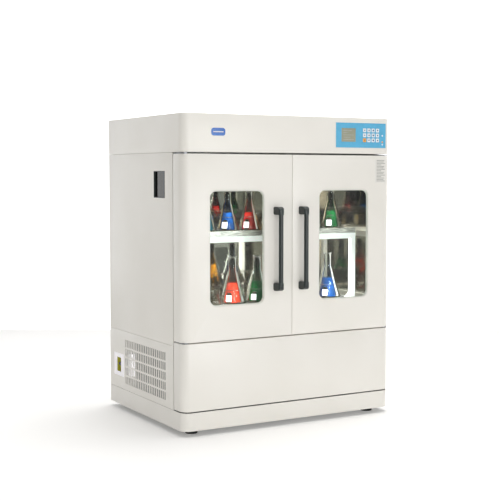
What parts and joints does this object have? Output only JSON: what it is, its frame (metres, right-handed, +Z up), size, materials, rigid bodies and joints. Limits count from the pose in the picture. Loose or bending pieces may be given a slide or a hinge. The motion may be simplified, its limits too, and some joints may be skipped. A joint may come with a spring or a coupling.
{
  "type": "shaking incubator",
  "caption": "Floor-standing two-door shaking incubator: a double-deck orbital platform with flask clamps in a glazed, temperature-controlled cabinet.",
  "frame": {"origin": "on the floor under the middle of the whole box, handles included", "axes": "+Z up, -Y towards the user who opens the doors, +X to the user's right"},
  "size_m": [1.12, 0.871, 1.42],
  "materials": {
    "casing_paint": "satin powder coat, warm white",
    "frame_steel": "grey primer paint",
    "stainless": "brushed stainless sheet",
    "platform_white": "white powder coat",
    "handle_plastic": "fine grained near-black",
    "seal_rubber": "light grey silicone",
    "clear_glass": "polished",
    "overlay_blue": "satin printed film",
    "key_white": "satin",
    "key_amber": "satin",
    "display_glass": "reflective grey-green",
    "lamp_diffuser": "opal",
    "bare_aluminium": "mill finish",
    "machined_steel": "turned",
    "motor_enamel": "dark enamel",
    "belt_rubber": "moulded",
    "switch_plastic": "moulded",
    "toggle_plastic": "moulded",
    "case_plastic": "moulded",
    "foot_rubber": "moulded"
  },
  "bodies": {
    "cabinet": {"base_frame": "frame_steel", "plinth": "casing_paint", "lower_front_panel": "casing_paint", "side_panels": "casing_paint", "rear_panels": "casing_paint", "top_cap": "casing_paint", "front_frame": "stainless", "chamber_liner": "stainless", "air_duct_panel": "stainless", "finned_coils": "bare_aluminium", "chamber_lamp": "lamp_diffuser", "side_window_frame": "handle_plastic", "side_window_panes": "clear_glass", "control_box": "case_plastic", "keypad_panel": "overlay_blue", "display_window": "display_glass", "mains_fittings": "switch_plastic", "compressor": "motor_enamel", "drive_motor": "motor_enamel", "fan_motors": "motor_enamel", "bearing_housings": "machined_steel", "hinge_brackets": "machined_steel", "panel_screws": "machined_steel", "drive_belt": "belt_rubber"},
    "door_left": {"door_left_shell": "casing_paint", "door_left_liner": "stainless", "door_left_panes": "clear_glass", "door_left_seals": "seal_rubber", "door_left_handle": "handle_plastic"},
    "door_right": {"door_right_shell": "casing_paint", "door_right_liner": "stainless", "door_right_panes": "clear_glass", "door_right_seals": "seal_rubber", "door_right_handle": "handle_plastic"},
    "main_crank": {"main_crank": "machined_steel"},
    "motor_pulley": {"motor_pulley": "machined_steel"},
    "support_crank_left": {"support_crank_left": "machined_steel"},
    "support_crank_right": {"support_crank_right": "machined_steel"},
    "platform": {"platform_frame": "platform_white", "platform_decks": "stainless", "flask_clamps": "stainless"},
    "chamber_fan": {"chamber_fan": "toggle_plastic"},
    "condenser_fan": {"condenser_fan": "toggle_plastic"},
    "breaker_toggle": {"breaker_toggle": "toggle_plastic"},
    "key_01": {"key_01": "key_white"},
    "key_02": {"key_02": "key_white"},
    "key_03": {"key_03": "key_white"},
    "key_04": {"key_04": "key_white"},
    "key_05": {"key_05": "key_white"},
    "key_06": {"key_06": "key_white"},
    "key_07": {"key_07": "key_white"},
    "key_08": {"key_08": "key_white"},
    "key_09": {"key_09": "key_amber"},
    "key_10": {"key_10": "key_white"},
    "key_11": {"key_11": "key_white"},
    "key_12": {"key_12": "key_white"},
    "levelling_foot_front_left": {"levelling_foot_front_left": "foot_rubber"},
    "levelling_foot_front_right": {"levelling_foot_front_right": "foot_rubber"},
    "levelling_foot_rear_left": {"levelling_foot_rear_left": "foot_rubber"},
    "levelling_foot_rear_right": {"levelling_foot_rear_right": "foot_rubber"}
  },
  "joints": [
    {"name": "door_left_hinge", "type": "hinge", "parent": "cabinet", "child": "door_left", "pos_m": [-0.538, -0.3545, 0.83], "axis": [0, 0, -1], "range_deg": [0, 110]},
    {"name": "door_right_hinge", "type": "hinge", "parent": "cabinet", "child": "door_right", "pos_m": [0.538, -0.3545, 0.83], "axis": [0, 0, 1], "range_deg": [0, 110]},
    {"name": "crank_spin", "type": "hinge", "parent": "cabinet", "child": "main_crank", "pos_m": [0, 0.118, 0.46], "axis": [0, 0, 1], "continuous": true},
    {"name": "platform_orbit", "type": "hinge", "parent": "main_crank", "child": "platform", "pos_m": [0, 0.131, 0.49], "axis": [0, 0, 1], "continuous": true},
    {"name": "support_left_spin", "type": "hinge", "parent": "cabinet", "child": "support_crank_left", "pos_m": [-0.29, -0.142, 0.46], "axis": [0, 0, 1], "continuous": true},
    {"name": "support_right_spin", "type": "hinge", "parent": "cabinet", "child": "support_crank_right", "pos_m": [0.29, -0.142, 0.46], "axis": [0, 0, 1], "continuous": true},
    {"name": "motor_spin", "type": "hinge", "parent": "cabinet", "child": "motor_pulley", "pos_m": [0.27, 0.118, 0.38], "axis": [0, 0, 1], "continuous": true},
    {"name": "chamber_fan_spin", "type": "hinge", "parent": "cabinet", "child": "chamber_fan", "pos_m": [0, 0.3335, 1.138], "axis": [0, 1, 0], "continuous": true},
    {"name": "condenser_fan_spin", "type": "hinge", "parent": "cabinet", "child": "condenser_fan", "pos_m": [-0.458, 0.02, 0.246], "axis": [1, 0, 0], "continuous": true},
    {"name": "breaker_toggle_rock", "type": "hinge", "parent": "cabinet", "child": "breaker_toggle", "pos_m": [-0.5456, 0.327, 0.222], "axis": [0, 1, 0], "range_deg": [-50, 0]},
    {"name": "key_01_press", "type": "slide", "parent": "cabinet", "child": "key_01", "axis": [0, 1, 0], "range_m": [0, 0.0008], "stiffness_N_per_m": 400, "springref_m": -0.001},
    {"name": "key_02_press", "type": "slide", "parent": "cabinet", "child": "key_02", "axis": [0, 1, 0], "range_m": [0, 0.0008], "stiffness_N_per_m": 400, "springref_m": -0.001},
    {"name": "key_03_press", "type": "slide", "parent": "cabinet", "child": "key_03", "axis": [0, 1, 0], "range_m": [0, 0.0008], "stiffness_N_per_m": 400, "springref_m": -0.001},
    {"name": "key_04_press", "type": "slide", "parent": "cabinet", "child": "key_04", "axis": [0, 1, 0], "range_m": [0, 0.0008], "stiffness_N_per_m": 400, "springref_m": -0.001},
    {"name": "key_05_press", "type": "slide", "parent": "cabinet", "child": "key_05", "axis": [0, 1, 0], "range_m": [0, 0.0008], "stiffness_N_per_m": 400, "springref_m": -0.001},
    {"name": "key_06_press", "type": "slide", "parent": "cabinet", "child": "key_06", "axis": [0, 1, 0], "range_m": [0, 0.0008], "stiffness_N_per_m": 400, "springref_m": -0.001},
    {"name": "key_07_press", "type": "slide", "parent": "cabinet", "child": "key_07", "axis": [0, 1, 0], "range_m": [0, 0.0008], "stiffness_N_per_m": 400, "springref_m": -0.001},
    {"name": "key_08_press", "type": "slide", "parent": "cabinet", "child": "key_08", "axis": [0, 1, 0], "range_m": [0, 0.0008], "stiffness_N_per_m": 400, "springref_m": -0.001},
    {"name": "key_09_press", "type": "slide", "parent": "cabinet", "child": "key_09", "axis": [0, 1, 0], "range_m": [0, 0.0008], "stiffness_N_per_m": 400, "springref_m": -0.001},
    {"name": "key_10_press", "type": "slide", "parent": "cabinet", "child": "key_10", "axis": [0, 1, 0], "range_m": [0, 0.0008], "stiffness_N_per_m": 400, "springref_m": -0.001},
    {"name": "key_11_press", "type": "slide", "parent": "cabinet", "child": "key_11", "axis": [0, 1, 0], "range_m": [0, 0.0008], "stiffness_N_per_m": 400, "springref_m": -0.001},
    {"name": "key_12_press", "type": "slide", "parent": "cabinet", "child": "key_12", "axis": [0, 1, 0], "range_m": [0, 0.0008], "stiffness_N_per_m": 400, "springref_m": -0.001},
    {"name": "levelling_foot_front_left_screw", "type": "slide", "parent": "cabinet", "child": "levelling_foot_front_left", "axis": [0, 0, -1], "range_m": [0, 0.015]},
    {"name": "levelling_foot_front_right_screw", "type": "slide", "parent": "cabinet", "child": "levelling_foot_front_right", "axis": [0, 0, -1], "range_m": [0, 0.015]},
    {"name": "levelling_foot_rear_left_screw", "type": "slide", "parent": "cabinet", "child": "levelling_foot_rear_left", "axis": [0, 0, -1], "range_m": [0, 0.015]},
    {"name": "levelling_foot_rear_right_screw", "type": "slide", "parent": "cabinet", "child": "levelling_foot_rear_right", "axis": [0, 0, -1], "range_m": [0, 0.015]}
  ],
  "couplings": [
    {"joint": "crank_spin", "follows": "platform_orbit", "ratio": -1},
    {"joint": "support_left_spin", "follows": "platform_orbit", "ratio": -1},
    {"joint": "support_right_spin", "follows": "platform_orbit", "ratio": -1},
    {"joint": "motor_spin", "follows": "platform_orbit", "ratio": -2.9688}
  ]
}
